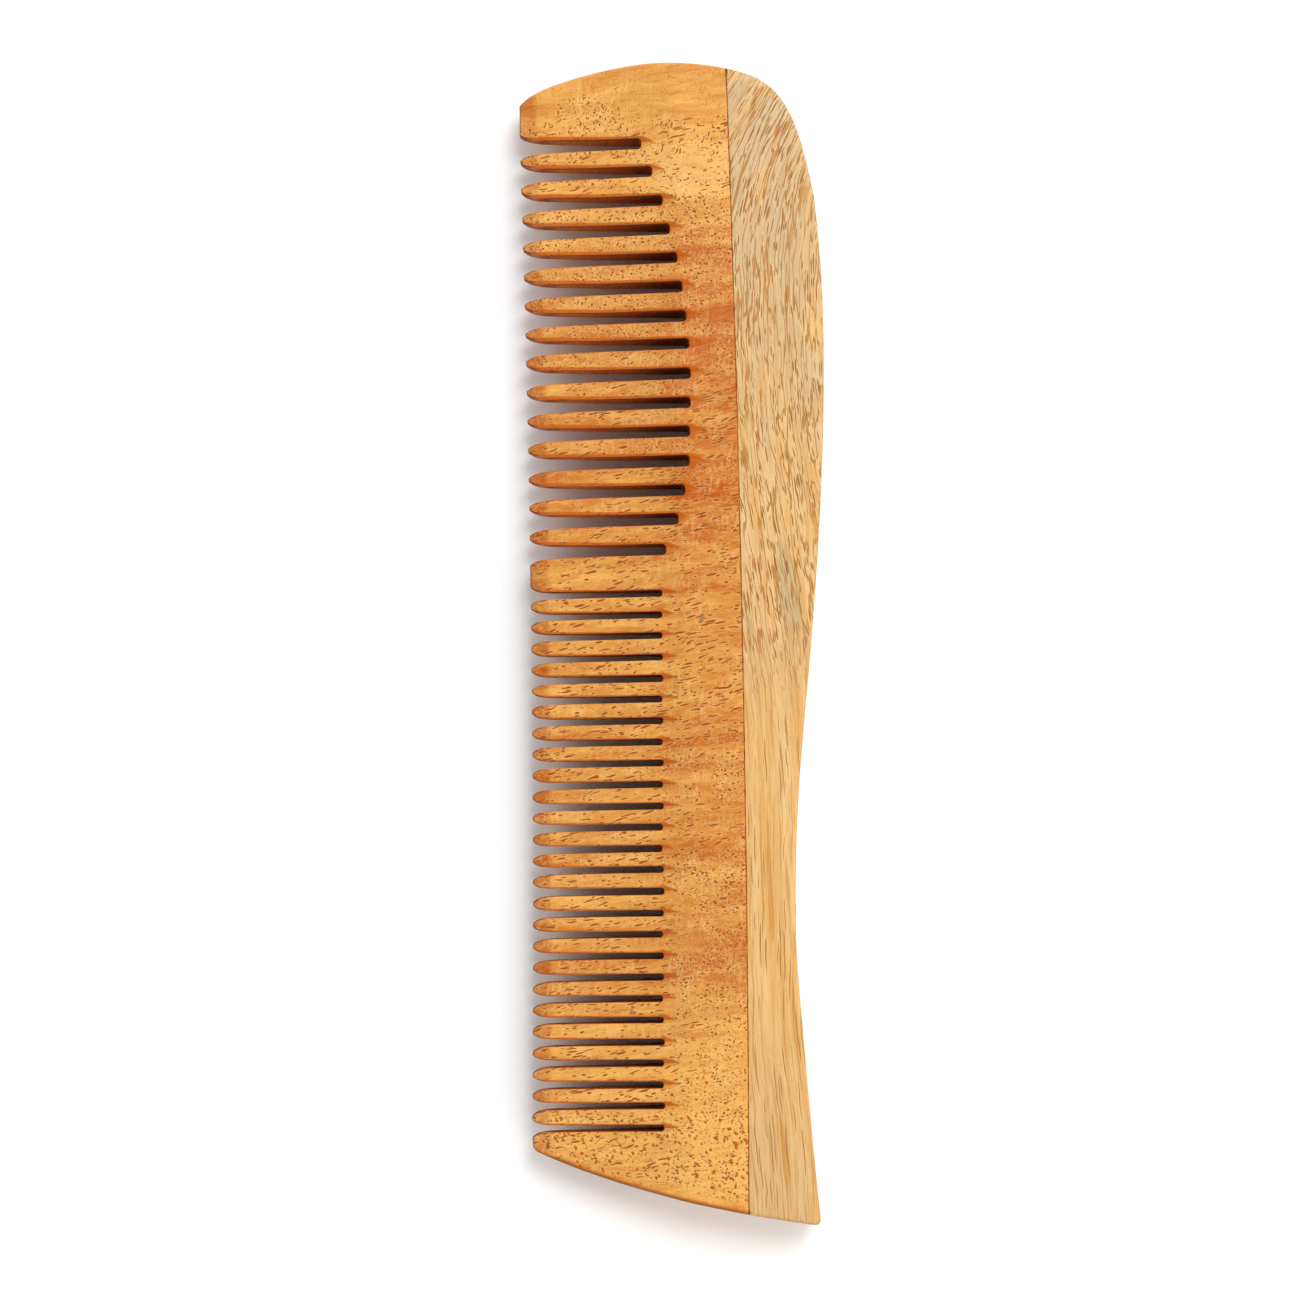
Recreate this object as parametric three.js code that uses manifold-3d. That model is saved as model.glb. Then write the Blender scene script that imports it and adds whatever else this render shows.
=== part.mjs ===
// Wooden dressing comb, 190 mm long, with a wide-toothed half and a fine-toothed half.
//
// Two boards make the comb. The toothed board has its grain along the teeth and is sawn into teeth.
// The spine has its grain along the comb, and takes the toothed board's tongue in a groove along
// its inner edge. A film of glue fills the joint.
//
// The toothed board is one piece of wood. Its mesh is parted into the backing, tooth_plate, and one
// mesh for each tooth and guard, which meet the backing face to face. So the gaps between teeth stay
// open to a physics engine that takes each mesh as a convex shape.
//
// Millimetres. +X runs from the tooth tips to the spine, +Y towards the rounded end, +Z up through
// the thickness. The back of the comb lies on Z = 0 and the origin is the middle of its box.

import * as THREE from "three";
import { mergeVertices } from "three/addons/utils/BufferGeometryUtils.js";
import Module from "manifold-3d";

const wasm = await Module();
wasm.setup();

// ---------------------------------------------------------------------------------------------
// Driving dimensions
// ---------------------------------------------------------------------------------------------

const LENGTH = 190;
const THICKNESS = 9;
const TOP_Y = LENGTH / 2;
const BOTTOM_Y = -LENGTH / 2;
const MID_Z = THICKNESS / 2;
const SPINE_X = 24.8;
const REACH = 2 * LENGTH;

// The tooth tips and the glue joint both bow gently along the comb: x = peak - bow * (dy / 100)^2.
const TIP_LINE = { peak: -23.76, bow: 1.3, peakY: 8 };
const JOINT_LINE = { peak: 10.5, bow: 0.93, peakY: -10 };

const EDGE_ROUND = 0.6;

// Half thickness of the board from the tooth roots to the tips. Both faces are planed alike.
const TAPER_START_X = 1.5;
const TAPER_BEND = { x: -8, half: 2.75 };
const TIP_BEVEL_X = -21.4;
const TIP_BEVEL_HALF = 2;
const TIP_END_X = -25;
const TIP_END_HALF = 1;

const COARSE = {
  count: 15, firstY: 81.8, pitch: 4.785, half: 0.95, corner: 0.6, tipWidth: 0.85, mouthFlare: 3.2,
};
const FINE = {
  count: 26, firstY: 7.57, pitch: 3.467, half: 0.58, corner: 0.4, tipWidth: 0.8, mouthFlare: 2.6,
};

// The coarse slots end on an arch and the fine slots on a straight line.
const ARCH = { peakX: 2.9, peakY: 40, upperDrop: 7.5, upperPower: 2.3, lowerDrop: 4.3, lowerPower: 2.9 };
const FINE_ROOT = { firstX: -2.35, drop: 1.1 };

// A V-shaped wheel eases the edges of each slot and runs out as a point beyond its end.
const RUN_OUT = 3.4;
const EASE_AT_ROOT = 0.2;
const EASE_AT_TIP = 0.5;

// The tongue stops short of both ends, so it never shows.
const TONGUE = { thick: 3, depth: 4, lowY: -84, highY: 85 };
const GLUE = 0.2;

const CURVE_STEPS = 8;
const TAPER_STEPS = 4;
const JOINT_STEPS = 12;

// ---------------------------------------------------------------------------------------------
// Solids
// ---------------------------------------------------------------------------------------------

function solid(geometry) {
  geometry.deleteAttribute("normal");
  geometry.deleteAttribute("uv");
  const welded = mergeVertices(geometry);
  return new wasm.Manifold(new wasm.Mesh({
    numProp: 3,
    vertProperties: new Float32Array(welded.attributes.position.array),
    triVerts: new Uint32Array(welded.index.array),
  }));
}

function namedMesh(name, body, finish) {
  const result = body.getMesh();
  const geometry = new THREE.BufferGeometry();
  geometry.setAttribute("position", new THREE.BufferAttribute(result.vertProperties, 3));
  geometry.setIndex(new THREE.BufferAttribute(result.triVerts, 1));
  geometry.computeVertexNormals();
  const material = new THREE.MeshStandardMaterial({ ...finish, metalness: 0 });
  const mesh = new THREE.Mesh(geometry, material);
  mesh.name = name;
  return mesh;
}

// A plan shape extruded between two heights.
function slab(shape, bottom, top) {
  const options = { depth: top - bottom, bevelEnabled: false, curveSegments: CURVE_STEPS };
  return solid(new THREE.ExtrudeGeometry(shape, options).translate(0, 0, bottom));
}

// ---------------------------------------------------------------------------------------------
// Plan of the comb
// ---------------------------------------------------------------------------------------------

function lineX(line, y) {
  return line.peak - line.bow * ((y - line.peakY) / 100) ** 2;
}

// The whole plan, anticlockwise from the blunt tip of the top guard.
function combOutline() {
  const guardTopY = 88.5;
  const guardBottomY = -81.7;
  const tipTopX = lineX(TIP_LINE, guardTopY);
  const tipBottomX = lineX(TIP_LINE, guardBottomY);
  const slope = (-2 * TIP_LINE.bow * (guardTopY - TIP_LINE.peakY)) / 100 ** 2;
  const middleY = (guardTopY + guardBottomY) / 2;
  const middleX = tipTopX + slope * (middleY - guardTopY);
  const shape = new THREE.Shape();
  shape.moveTo(tipTopX, guardTopY);
  shape.quadraticCurveTo(middleX, middleY, tipBottomX, guardBottomY);
  // Blunt corner of the bottom guard, then the slanting bottom end.
  shape.quadraticCurveTo(tipBottomX, -82.3, -24.1, -82.8);
  shape.bezierCurveTo(-12.2, -88.5, 5.3, -92.8, 20.6, BOTTOM_Y);
  shape.quadraticCurveTo(21.6, BOTTOM_Y, 21.55, -94.1);
  // Up the back of the spine: heel, waist, belly and shoulder.
  shape.bezierCurveTo(20.9, -87, 20.2, -78, 19.4, -66);
  shape.bezierCurveTo(19, -60, 18.45, -54, 18.45, -47);
  shape.bezierCurveTo(18.45, -35, 19.1, -25, 20.9, -9.5);
  shape.bezierCurveTo(22.5, 5, SPINE_X, 28, SPINE_X, 50);
  shape.bezierCurveTo(SPINE_X, 59, 24.3, 66.5, 23.66, 72.6);
  shape.bezierCurveTo(21.9, 81, 20.7, 89.5, 13.9, 92.5);
  // The top end, falling away to the blunt corner of the top guard.
  shape.bezierCurveTo(11.9, 93.3, 7.2, TOP_Y, -2.5, TOP_Y);
  shape.bezierCurveTo(-8.9, TOP_Y, -21.4, 92, -23.9, 89.4);
  shape.quadraticCurveTo(tipTopX, 88.95, tipTopX, guardTopY);
  return shape;
}

// The full board, with its outer edges eased.
function combBoard() {
  const geometry = new THREE.ExtrudeGeometry(combOutline(), {
    depth: THICKNESS - 2 * EDGE_ROUND,
    bevelEnabled: true,
    bevelSize: EDGE_ROUND,
    bevelThickness: EDGE_ROUND,
    bevelOffset: -EDGE_ROUND,
    bevelSegments: 1,
    curveSegments: CURVE_STEPS,
  });
  return solid(geometry.translate(0, 0, EDGE_ROUND));
}

// A band that follows the joint, between two distances from it and two places along it.
function jointBand(from, to, bottom, top, lowY = BOTTOM_Y - 5, highY = TOP_Y + 5) {
  const count = JOINT_STEPS + 1;
  const heights = Array.from({ length: count }, (_, i) => lowY + ((highY - lowY) * i) / JOINT_STEPS);
  const rising = heights.map((y) => new THREE.Vector2(lineX(JOINT_LINE, y) + to, y));
  const falling = heights.map((y) => new THREE.Vector2(lineX(JOINT_LINE, y) + from, y)).reverse();
  return slab(new THREE.Shape([...rising, ...falling]), bottom, top);
}

// ---------------------------------------------------------------------------------------------
// Section of the comb
// ---------------------------------------------------------------------------------------------

// Points of the upper face from the spine to the tips: x, and height above the middle.
function facePoints() {
  const taper = new THREE.QuadraticBezierCurve(
    new THREE.Vector2(TAPER_START_X, MID_Z),
    new THREE.Vector2(TAPER_BEND.x, TAPER_BEND.half),
    new THREE.Vector2(TIP_BEVEL_X, TIP_BEVEL_HALF),
  );
  return [...taper.getPoints(TAPER_STEPS), new THREE.Vector2(TIP_END_X, TIP_END_HALF)];
}

function faceHalf(x) {
  const points = facePoints();
  if (x >= points[0].x) return MID_Z;
  const next = Math.max(1, points.findIndex((point) => point.x <= x));
  const a = points[next - 1];
  const b = points[next];
  return a.y + ((b.y - a.y) * (x - a.x)) / (b.x - a.x);
}

// The tapering section, extruded along the comb.
function taperedSection() {
  const face = facePoints();
  const upper = [new THREE.Vector2(SPINE_X + 1, MID_Z), ...face];
  const lower = upper.map((point) => new THREE.Vector2(point.x, -point.y)).reverse();
  const shape = new THREE.Shape([...upper, ...lower]);
  const geometry = new THREE.ExtrudeGeometry(shape, { depth: REACH, bevelEnabled: false });
  geometry.translate(0, 0, -REACH / 2).rotateX(Math.PI / 2).translate(0, 0, MID_Z);
  return solid(geometry);
}

// ---------------------------------------------------------------------------------------------
// Slots between the teeth
// ---------------------------------------------------------------------------------------------

function archRootX(y) {
  const lastY = COARSE.firstY - (COARSE.count - 1) * COARSE.pitch;
  const upper = y > ARCH.peakY;
  const reach = upper ? COARSE.firstY - ARCH.peakY : ARCH.peakY - lastY;
  const share = Math.abs(y - ARCH.peakY) / reach;
  const drop = upper ? ARCH.upperDrop * share ** ARCH.upperPower : ARCH.lowerDrop * share ** ARCH.lowerPower;
  return ARCH.peakX - drop;
}

function coarseSlots() {
  return Array.from({ length: COARSE.count }, (_, i) => {
    const y = COARSE.firstY - i * COARSE.pitch;
    return { ...COARSE, y, rootX: archRootX(y) };
  });
}

function fineSlots() {
  return Array.from({ length: FINE.count }, (_, i) => {
    const y = FINE.firstY - i * FINE.pitch;
    return { ...FINE, y, rootX: FINE_ROOT.firstX - (FINE_ROOT.drop * i) / (FINE.count - 1) };
  });
}

// Plan of one slot: a rounded end, parallel sides, and a mouth that flares to leave blunt tips.
function slotShape({ y, rootX, half, corner, pitch, tipWidth, mouthFlare }) {
  const tipX = lineX(TIP_LINE, y);
  const flareX = tipX + mouthFlare;
  const bendX = tipX + 0.4 * mouthFlare;
  const mouth = (pitch - tipWidth) / 2;
  const outside = TIP_END_X - 2;
  const shape = new THREE.Shape();
  shape.moveTo(outside, y - mouth);
  shape.lineTo(tipX, y - mouth);
  shape.quadraticCurveTo(bendX, y - half, flareX, y - half);
  shape.lineTo(rootX - corner, y - half);
  shape.quadraticCurveTo(rootX, y - half, rootX, y - half + corner);
  shape.lineTo(rootX, y + half - corner);
  shape.quadraticCurveTo(rootX, y + half, rootX - corner, y + half);
  shape.lineTo(flareX, y + half);
  shape.quadraticCurveTo(bendX, y + half, tipX, y + mouth);
  shape.lineTo(outside, y + mouth);
  return shape;
}

function slotCut(slot) {
  const options = { depth: THICKNESS + 2, bevelEnabled: false, curveSegments: 3 };
  return solid(new THREE.ExtrudeGeometry(slotShape(slot), options).translate(0, 0, -1));
}

// The path of the V-shaped wheel: a point of its edge at each station, from the run-out to the tips.
function easePath({ y, rootX, half }) {
  const tipX = lineX(TIP_LINE, y);
  const stations = [0, 0.5, 1.1].map((share) => {
    const x = rootX + (tipX - rootX) * share;
    const ease = EASE_AT_ROOT + (EASE_AT_TIP - EASE_AT_ROOT) * share;
    return new THREE.Vector2(x, faceHalf(x) - half - ease);
  });
  return [new THREE.Vector2(rootX + RUN_OUT, MID_Z), ...stations];
}

// A triangular bar with its edge on that path. Side is 1 for the upper face and -1 for the back.
function easeCut(slot, side) {
  const path = easePath(slot);
  const high = MID_Z + 1;
  const corners = path.flatMap(({ x, y: edge }) => [
    [x, slot.y, MID_Z + side * edge],
    [x, slot.y - side * (high - edge), MID_Z + side * high],
    [x, slot.y + side * (high - edge), MID_Z + side * high],
  ]);
  const faces = [];
  for (let i = 0; i < path.length - 1; i += 1) {
    for (let k = 0; k < 3; k += 1) {
      const here = 3 * i + k;
      const beside = 3 * i + ((k + 1) % 3);
      faces.push(here, beside, beside + 3, here, beside + 3, here + 3);
    }
  }
  const last = 3 * (path.length - 1);
  faces.push(0, 2, 1, last, last + 1, last + 2);
  const geometry = new THREE.BufferGeometry();
  geometry.setAttribute("position", new THREE.Float32BufferAttribute(corners.flat(), 3));
  geometry.setIndex(faces);
  return solid(geometry);
}

// ---------------------------------------------------------------------------------------------
// Pieces
// ---------------------------------------------------------------------------------------------

// The tongue, from a distance past the joint to its outer edge, with room round it.
function tongueBand(from, room) {
  const halfThick = TONGUE.thick / 2 + room;
  const lowY = TONGUE.lowY - room;
  const highY = TONGUE.highY + room;
  return jointBand(from, TONGUE.depth + room, MID_Z - halfThick, MID_Z + halfThick, lowY, highY);
}

// The whole toothed board, sawn but in one piece.
function toothedBoard(board, slots) {
  const teethSide = jointBand(-REACH / 4, 0, -1, THICKNESS + 1);
  let wood = board.intersect(teethSide).intersect(taperedSection()).add(tongueBand(-1, 0));
  for (const slot of slots) {
    wood = wood.subtract(slotCut(slot));
    wood = wood.subtract(easeCut(slot, 1));
    wood = wood.subtract(easeCut(slot, -1));
  }
  return wood;
}

// A block round one tooth: between two slots' middles, and from outside the tips to the tooth's root.
function toothBlock(lowY, highY, rootX) {
  const outside = TIP_END_X - 1;
  const geometry = new THREE.BoxGeometry(rootX - outside, highY - lowY, THICKNESS + 2);
  return solid(geometry.translate((rootX + outside) / 2, (highY + lowY) / 2, MID_Z));
}

function toothName(index) {
  if (index === 0) return "top_guard";
  if (index < COARSE.count) return `coarse_tooth_${String(index).padStart(2, "0")}`;
  if (index === COARSE.count) return "middle_guard";
  if (index === COARSE.count + FINE.count) return "bottom_guard";
  return `fine_tooth_${String(index - COARSE.count).padStart(2, "0")}`;
}

// Parts the teeth and guards from their backing, from the top end down.
function partTeeth(wood, slots) {
  const teeth = [];
  let backing = wood;
  for (let i = 0; i <= slots.length; i += 1) {
    const beside = [slots[i - 1], slots[i]].filter(Boolean);
    const highY = i === 0 ? TOP_Y + 1 : slots[i - 1].y;
    const lowY = i === slots.length ? BOTTOM_Y - 1 : slots[i].y;
    const rootX = Math.min(...beside.map((slot) => slot.rootX - slot.corner));
    const block = toothBlock(lowY, highY, rootX);
    teeth.push({ name: toothName(i), body: wood.intersect(block) });
    backing = backing.subtract(block);
  }
  return { backing, teeth };
}

// Everything between the two boards: along the shoulders and around the tongue.
function glueSpace() {
  return jointBand(0, GLUE, -1, THICKNESS + 1).add(tongueBand(GLUE / 2, GLUE));
}

function glueFilm(board) {
  return board.intersect(glueSpace()).subtract(tongueBand(-1, 0));
}

function spine(board) {
  const teethSide = jointBand(-REACH / 4, GLUE, -1, THICKNESS + 1);
  return board.subtract(teethSide).subtract(glueSpace());
}

const TOOTH_WOOD = { color: 0xd59a55, roughness: 0.45 };
const SPINE_WOOD = { color: 0xdcb98a, roughness: 0.42 };
const DRIED_GLUE = { color: 0x4a2f18, roughness: 0.5 };

const board = combBoard();
const slots = [...coarseSlots(), ...fineSlots()];
const { backing, teeth } = partTeeth(toothedBoard(board, slots), slots);

const comb = new THREE.Group();
comb.add(namedMesh("tooth_plate", backing, TOOTH_WOOD));
for (const tooth of teeth) {
  comb.add(namedMesh(tooth.name, tooth.body, TOOTH_WOOD));
}
comb.add(namedMesh("glue_film", glueFilm(board), DRIED_GLUE));
comb.add(namedMesh("spine", spine(board), SPINE_WOOD));

export default comb;
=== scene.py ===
"""A wooden dressing comb: a toothed board and a spine, glued edge to edge.

Lengths are in millimetres in the comb's own frame until a mesh is made: +X runs from the tooth tips
to the spine, +Y towards the rounded end and +Z out of the upper face. The back lies on Z = 0.
"""

import math
from types import SimpleNamespace

import bmesh
import bpy
import numpy as np
from mathutils import Matrix, Vector
from mathutils.geometry import delaunay_2d_cdt


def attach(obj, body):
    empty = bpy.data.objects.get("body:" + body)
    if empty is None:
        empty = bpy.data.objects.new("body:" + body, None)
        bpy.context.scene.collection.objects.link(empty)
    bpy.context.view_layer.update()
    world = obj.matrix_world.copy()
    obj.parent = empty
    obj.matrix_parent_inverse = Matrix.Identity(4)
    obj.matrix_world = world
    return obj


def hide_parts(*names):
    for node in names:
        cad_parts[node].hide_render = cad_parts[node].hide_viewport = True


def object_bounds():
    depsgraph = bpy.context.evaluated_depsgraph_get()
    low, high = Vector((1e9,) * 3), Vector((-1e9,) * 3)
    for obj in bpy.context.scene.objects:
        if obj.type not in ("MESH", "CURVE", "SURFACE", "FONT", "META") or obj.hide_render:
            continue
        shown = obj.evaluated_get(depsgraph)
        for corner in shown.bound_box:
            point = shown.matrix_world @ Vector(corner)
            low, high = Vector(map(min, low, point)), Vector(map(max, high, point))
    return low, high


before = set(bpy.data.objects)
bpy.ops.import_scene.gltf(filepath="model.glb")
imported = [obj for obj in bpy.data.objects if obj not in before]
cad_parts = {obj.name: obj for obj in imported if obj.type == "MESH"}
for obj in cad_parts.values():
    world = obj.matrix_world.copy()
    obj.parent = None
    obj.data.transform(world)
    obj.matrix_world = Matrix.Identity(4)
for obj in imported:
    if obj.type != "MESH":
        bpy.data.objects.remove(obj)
CAD_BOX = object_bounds()

MM = 0.001
LOW, HIGH = (np.array(corner) / MM for corner in CAD_BOX)
TOP_Y, BOTTOM_Y = HIGH[1], LOW[1]
SPINE_X = HIGH[0]
THICKNESS = HIGH[2]
MID_Z = THICKNESS / 2

# The tooth tips and the glue joint both bow gently along the comb: x = peak - bow * (dy / 100)^2.
TIP_LINE = (-23.76, 1.3, 8)
JOINT_LINE = (10.5, 0.93, -10)
# The film of glue is this thick, and lies this far below both faces.
GLUE = 0.2
GLUE_SUNK = 0.015
TONGUE_THICK, TONGUE_DEPTH, TONGUE_LOW_Y, TONGUE_HIGH_Y = 3, 4, -84, 85

# Distance from the tip line and half thickness, where the toothed board starts to thin, at the bend
# of its curve, and where the curve ends. Each facet goes on from there to the tip.
TAPER_START, TAPER_BEND, TAPER_END = (25.3, MID_Z), (16, 2.75), (2.9, 2.0)
TAPER_SLOPE = 0.06
TIP_HALF = 1.05

# The two kinds of slot: half is half the width, corner rounds the closed end, rounding and taper
# shape the tips of the teeth, facet is the length sanded on each tip, and ease and fall are the
# sizes of the sanded edge in plan and in height, along the slot and at its closed end.
COARSE = dict(
    count=15, first_y=81.8, pitch=4.785, half=0.95, corner=0.62, rounding=(0.85, 1.1),
    taper=0.23, facet=2.9, ease=(0.75, 0.3), fall=(0.34, 0.2),
)
FINE = dict(
    count=26, first_y=7.57, pitch=3.467, half=0.55, corner=0.42, rounding=(0.76, 0.85),
    taper=0.04, facet=2.4, ease=(0.34, 0.16), fall=(0.3, 0.16),
)
TAPER_LENGTH = 12
# The coarse slots end on an arch. It falls away on each side of its peak by a depth and a power.
ARCH_PEAK = (2.9, 40)
ARCH_ABOVE, ARCH_BELOW = (7.5, 2.3), (4.3, 2.9)
# The fine slots end on a line, which starts here and drops by this much to the last slot.
FINE_ROOT, FINE_ROOT_DROP = -2.35, 1.1
# How far the mouth of a slot reaches past the tip line, which makes the tips blunt there.
MOUTH_PAST_TIPS = 0.12
# The saw leaves a run-out this much wider than half a slot, which narrows by this power.
RUN_OUT_SPREAD, RUN_OUT_POWER = 0.12, 0.75
# The facets sanded on the ends of the three guards, from the top one down.
GUARD_FACETS = (3.7, 1.7, 3.2)

# Sizes of the eased edges, and how flat they are, from 0, round, to 1, a plain chamfer.
EDGE_ROUND, EDGE_FLAT = 0.38, 0.5
END_ROUND, END_FLAT = 0.6, 0.35
TIP_ROUND, TIP_FALL = 0.2, 0.32
JOINT_ROUND = 0.015
RING_STEPS = 6
# How worn and shaded the walls' edge colour is, from 0 to 1 (rubbed wear and painted shade): the sawn
# ones, and the outer ones.
SAWN_EDGE_WEAR_AND_SHADE, OUTER_EDGE_WEAR_AND_SHADE = 0.75, 0.2
# The sawn look of a wall starts and is full at these distances from the tip line.
SAWN_FROM, SAWN_FULL = 1.5, 4.5
# Where the rows of points lie down a wall between its two edges.
WALL_SHARES = (0.05, 0.35, 0.65, 0.95)

rng = np.random.default_rng(7)


# --- Plan of the comb ---


def line_x(line, y):
    """Where a bowed line is across the comb."""
    peak, bow, peak_y = line
    return peak - bow * ((y - peak_y) / 100) ** 2


def bezier(*controls, steps):
    """Points along a quadratic or cubic curve, without its last point."""
    t = np.linspace(0, 1, steps, endpoint=False)[:, None]
    points = [np.array(c, float) for c in controls]
    if len(points) == 3:
        a, b, c = points
        return (1 - t) ** 2 * a + 2 * (1 - t) * t * b + t**2 * c
    a, b, c, d = points
    return (1 - t) ** 3 * a + 3 * (1 - t) ** 2 * t * b + 3 * (1 - t) * t**2 * c + t**3 * d


def top_edge():
    """The rounded end, from the spine's shoulder to the blunt corner of the top guard."""
    tip_x = line_x(TIP_LINE, 88.5)
    return np.concatenate([
        bezier((23.66, 72.6), (21.9, 81), (20.7, 89.5), (13.9, 92.5), steps=26),
        bezier((13.9, 92.5), (11.9, 93.3), (7.2, TOP_Y), (-2.5, TOP_Y), steps=26),
        bezier((-2.5, TOP_Y), (-8.9, TOP_Y), (-21.4, 92), (-23.9, 89.4), steps=34),
        bezier((-23.9, 89.4), (tip_x, 88.95), (tip_x, 88.5), steps=4),
    ])


def bottom_edge():
    """The slanting end, from the blunt corner of the bottom guard to the spine's heel."""
    tip_x = line_x(TIP_LINE, -81.7)
    return np.concatenate([
        bezier((tip_x, -81.7), (tip_x, -82.3), (-24.1, -82.8), steps=4),
        bezier((-24.1, -82.8), (-12.2, -88.5), (5.3, -92.8), (20.6, BOTTOM_Y), steps=60),
        bezier((20.6, BOTTOM_Y), (21.6, BOTTOM_Y), (21.55, -94.1), steps=5),
    ])


def spine_back():
    """The back of the spine, from the heel up past the waist and the belly to the shoulder."""
    return np.concatenate([
        bezier((21.55, -94.1), (20.9, -87), (20.2, -78), (19.4, -66), steps=20),
        bezier((19.4, -66), (19, -60), (18.45, -54), (18.45, -47), steps=14),
        bezier((18.45, -47), (18.45, -35), (19.1, -25), (20.9, -9.5), steps=24),
        bezier((20.9, -9.5), (22.5, 5), (SPINE_X, 28), (SPINE_X, 50), steps=40),
        bezier((SPINE_X, 50), (SPINE_X, 59), (24.3, 66.5), (23.66, 72.6), steps=20),
    ])


def joint_crossing(edge, shift):
    """Splits an outline stretch where it crosses the joint line moved by shift.

    Gives the points on the teeth's side, the crossing, and the points on the spine's side.
    """
    side = edge[:, 0] - line_x(JOINT_LINE, edge[:, 1]) - shift
    i = int(np.flatnonzero(side[:-1] * side[1:] < 0)[0])
    share = side[i] / (side[i] - side[i + 1])
    crossing = edge[i] + share * (edge[i + 1] - edge[i])
    before, after = edge[: i + 1], edge[i + 1 :]
    return (before, crossing, after) if side[0] < 0 else (after, crossing, before)


def clear_of(points, crossing):
    """Leaves out the points too near the crossing for a clean corner."""
    return points[np.hypot(*(points - crossing).T) > 0.4]


# --- Slots ---


def arch_root(y):
    """Where the coarse slots end."""
    peak_x, peak_y = ARCH_PEAK
    last_y = COARSE["first_y"] - (COARSE["count"] - 1) * COARSE["pitch"]
    (depth, power), end_y = (ARCH_ABOVE, COARSE["first_y"]) if y > peak_y else (ARCH_BELOW, last_y)
    return peak_x - depth * ((y - peak_y) / (end_y - peak_y)) ** power


def all_slots():
    """Every slot from the top end down, with the small unevenness of hand sawing."""
    slots = []
    for kind in (COARSE, FINE):
        for i in range(kind["count"]):
            y = kind["first_y"] - i * kind["pitch"]
            fine_root = FINE_ROOT - FINE_ROOT_DROP * i / (kind["count"] - 1)
            root = arch_root(y) if kind is COARSE else fine_root
            slots.append(dict(
                kind,
                y=y + rng.normal(0, 0.05),
                root=root + rng.normal(0, 0.09),
                half=kind["half"] + rng.normal(0, 0.02),
                lean=rng.normal(0, 0.0015),
                run_out=rng.uniform(1.9, 3.0),
                scoop=rng.uniform(0.3, 0.45),
                facet=kind["facet"] + rng.normal(0, 0.35),
            ))
    return slots


def tip_inset(s, slot):
    """How far a tooth's side draws in at a distance s from its tip: a round end and a long taper."""
    depth, length = slot["rounding"]
    return depth * np.exp(-s / length) + slot["taper"] * np.clip(1 - s / TAPER_LENGTH, 0, 1)


def slot_path(slot):
    """Points round one slot, along its upper side from the mouth, round its end and back.

    Also gives each point's distance from the tip, and the length of the straight sides.
    """
    tip = line_x(TIP_LINE, slot["y"])
    corner = slot["corner"]
    straight = slot["root"] - corner - tip
    curved = 4
    near_tip = -MOUTH_PAST_TIPS + (curved + MOUTH_PAST_TIPS) * np.linspace(0, 1, 11) ** 1.5
    s = np.concatenate([near_tip, np.linspace(curved, straight, 17)[1:]])
    turn = np.linspace(0, np.pi / 2, 5)[1:]
    x = np.append(tip + s, slot["root"] - corner + corner * np.sin(turn))
    middle = slot["y"] + slot["lean"] * np.append(s, np.full(len(turn), s[-1]))
    half = slot["half"] - corner + corner * np.cos(turn)
    half = np.append(slot["half"] + tip_inset(s, slot), half)
    upper = np.stack([x, middle + half], 1)
    lower = np.stack([x, middle - half], 1)
    depth = np.append(s, np.full(len(turn), straight + corner))
    return np.concatenate([upper, lower[::-1]]), np.append(depth, depth[::-1]), straight


def slot_ease(depth, straight, slot):
    """The sanded edge in plan and in height, which is narrow at the tip and shrinks to the root."""
    share = np.clip((depth - 5) / (straight - 5), 0, 1)
    near_tip = 1 - smooth_step(depth, 0.2, 4)
    sizes = []
    for (full, at_root), at_tip in ((slot["ease"], TIP_ROUND), (slot["fall"], TIP_FALL)):
        size = full + (at_root - full) * share
        sizes.append(size + (at_tip - size) * near_tip)
    return sizes


# --- Faces ---


def smooth_step(x, low, high):
    t = np.clip((x - low) / (high - low), 0, 1)
    return t * t * (3 - 2 * t)


def facet_length(y, slots):
    """The length of the sanded facet on the end of each tooth, or of a guard."""
    own = np.array([GUARD_FACETS[0]] + [slot["facet"] for slot in slots])
    own[COARSE["count"]] = GUARD_FACETS[1]
    own[-1] = GUARD_FACETS[2]
    return own[np.searchsorted([-slot["y"] for slot in slots], -y)]


def half_thickness(x, y, slots):
    """Half the board's thickness: full at the spine, planed down in a curve towards the tips."""
    s = x - line_x(TIP_LINE, y)
    (s0, h0), (s1, h1), (s2, h2) = TAPER_START, TAPER_BEND, TAPER_END
    a, b, c = s0 - 2 * s1 + s2, 2 * (s1 - s0), s0 - np.clip(s, s2, s0)
    t = (-b - np.sqrt(np.maximum(b * b - 4 * a * c, 0))) / (2 * a)
    t = np.clip(t, 0, 1)
    planed = (1 - t) ** 2 * h0 + 2 * (1 - t) * t * h1 + t * t * h2
    if not slots:
        return planed
    facet = facet_length(y, slots)
    at_facet = h2 + (facet - s2) * TAPER_SLOPE
    bevel = TIP_HALF + (at_facet - TIP_HALF) * np.maximum(s, 0) / facet
    return np.minimum(planed, bevel)


def run_out_width(slot, beyond):
    """Half the width of a run-out at a share of its length beyond the slot's end."""
    return (slot["half"] + RUN_OUT_SPREAD) * np.clip(1 - beyond, 0, 1) ** RUN_OUT_POWER


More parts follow.
